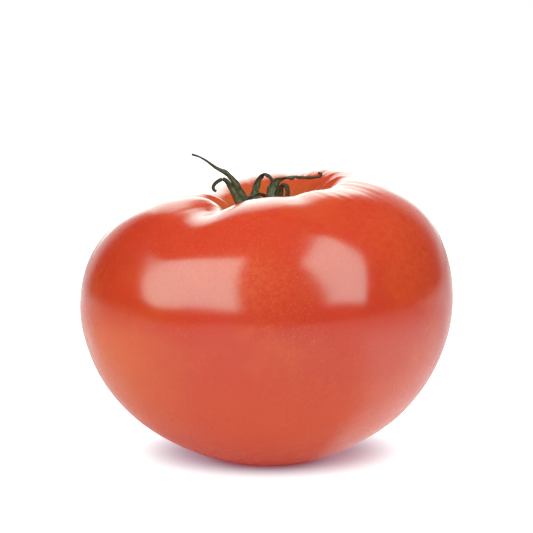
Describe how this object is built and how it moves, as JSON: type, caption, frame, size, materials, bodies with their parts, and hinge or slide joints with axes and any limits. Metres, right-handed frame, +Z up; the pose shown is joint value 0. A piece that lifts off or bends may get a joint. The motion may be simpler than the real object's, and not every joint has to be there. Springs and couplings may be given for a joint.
{
  "type": "tomato",
  "caption": "Large ripe red tomato, broad and lopsided with low lobes round a deep stem cavity, and a dried green calyx with long curling sepals standing in it.",
  "frame": {"origin": "middle of the small flat spot under the fruit, which it rests on", "axes": "+Z up through the stem cavity, +X to the right along the fruit's longest side, towards its high shoulder, -Y towards the viewer of the picture"},
  "size_m": [0.0923, 0.0877, 0.0776],
  "materials": {
    "skin": "smooth, satin-glossy natural skin",
    "sepals": "matt, dried"
  },
  "bodies": {
    "root": {"fruit": "skin", "calyx": "sepals"}
  },
  "joints": []
}
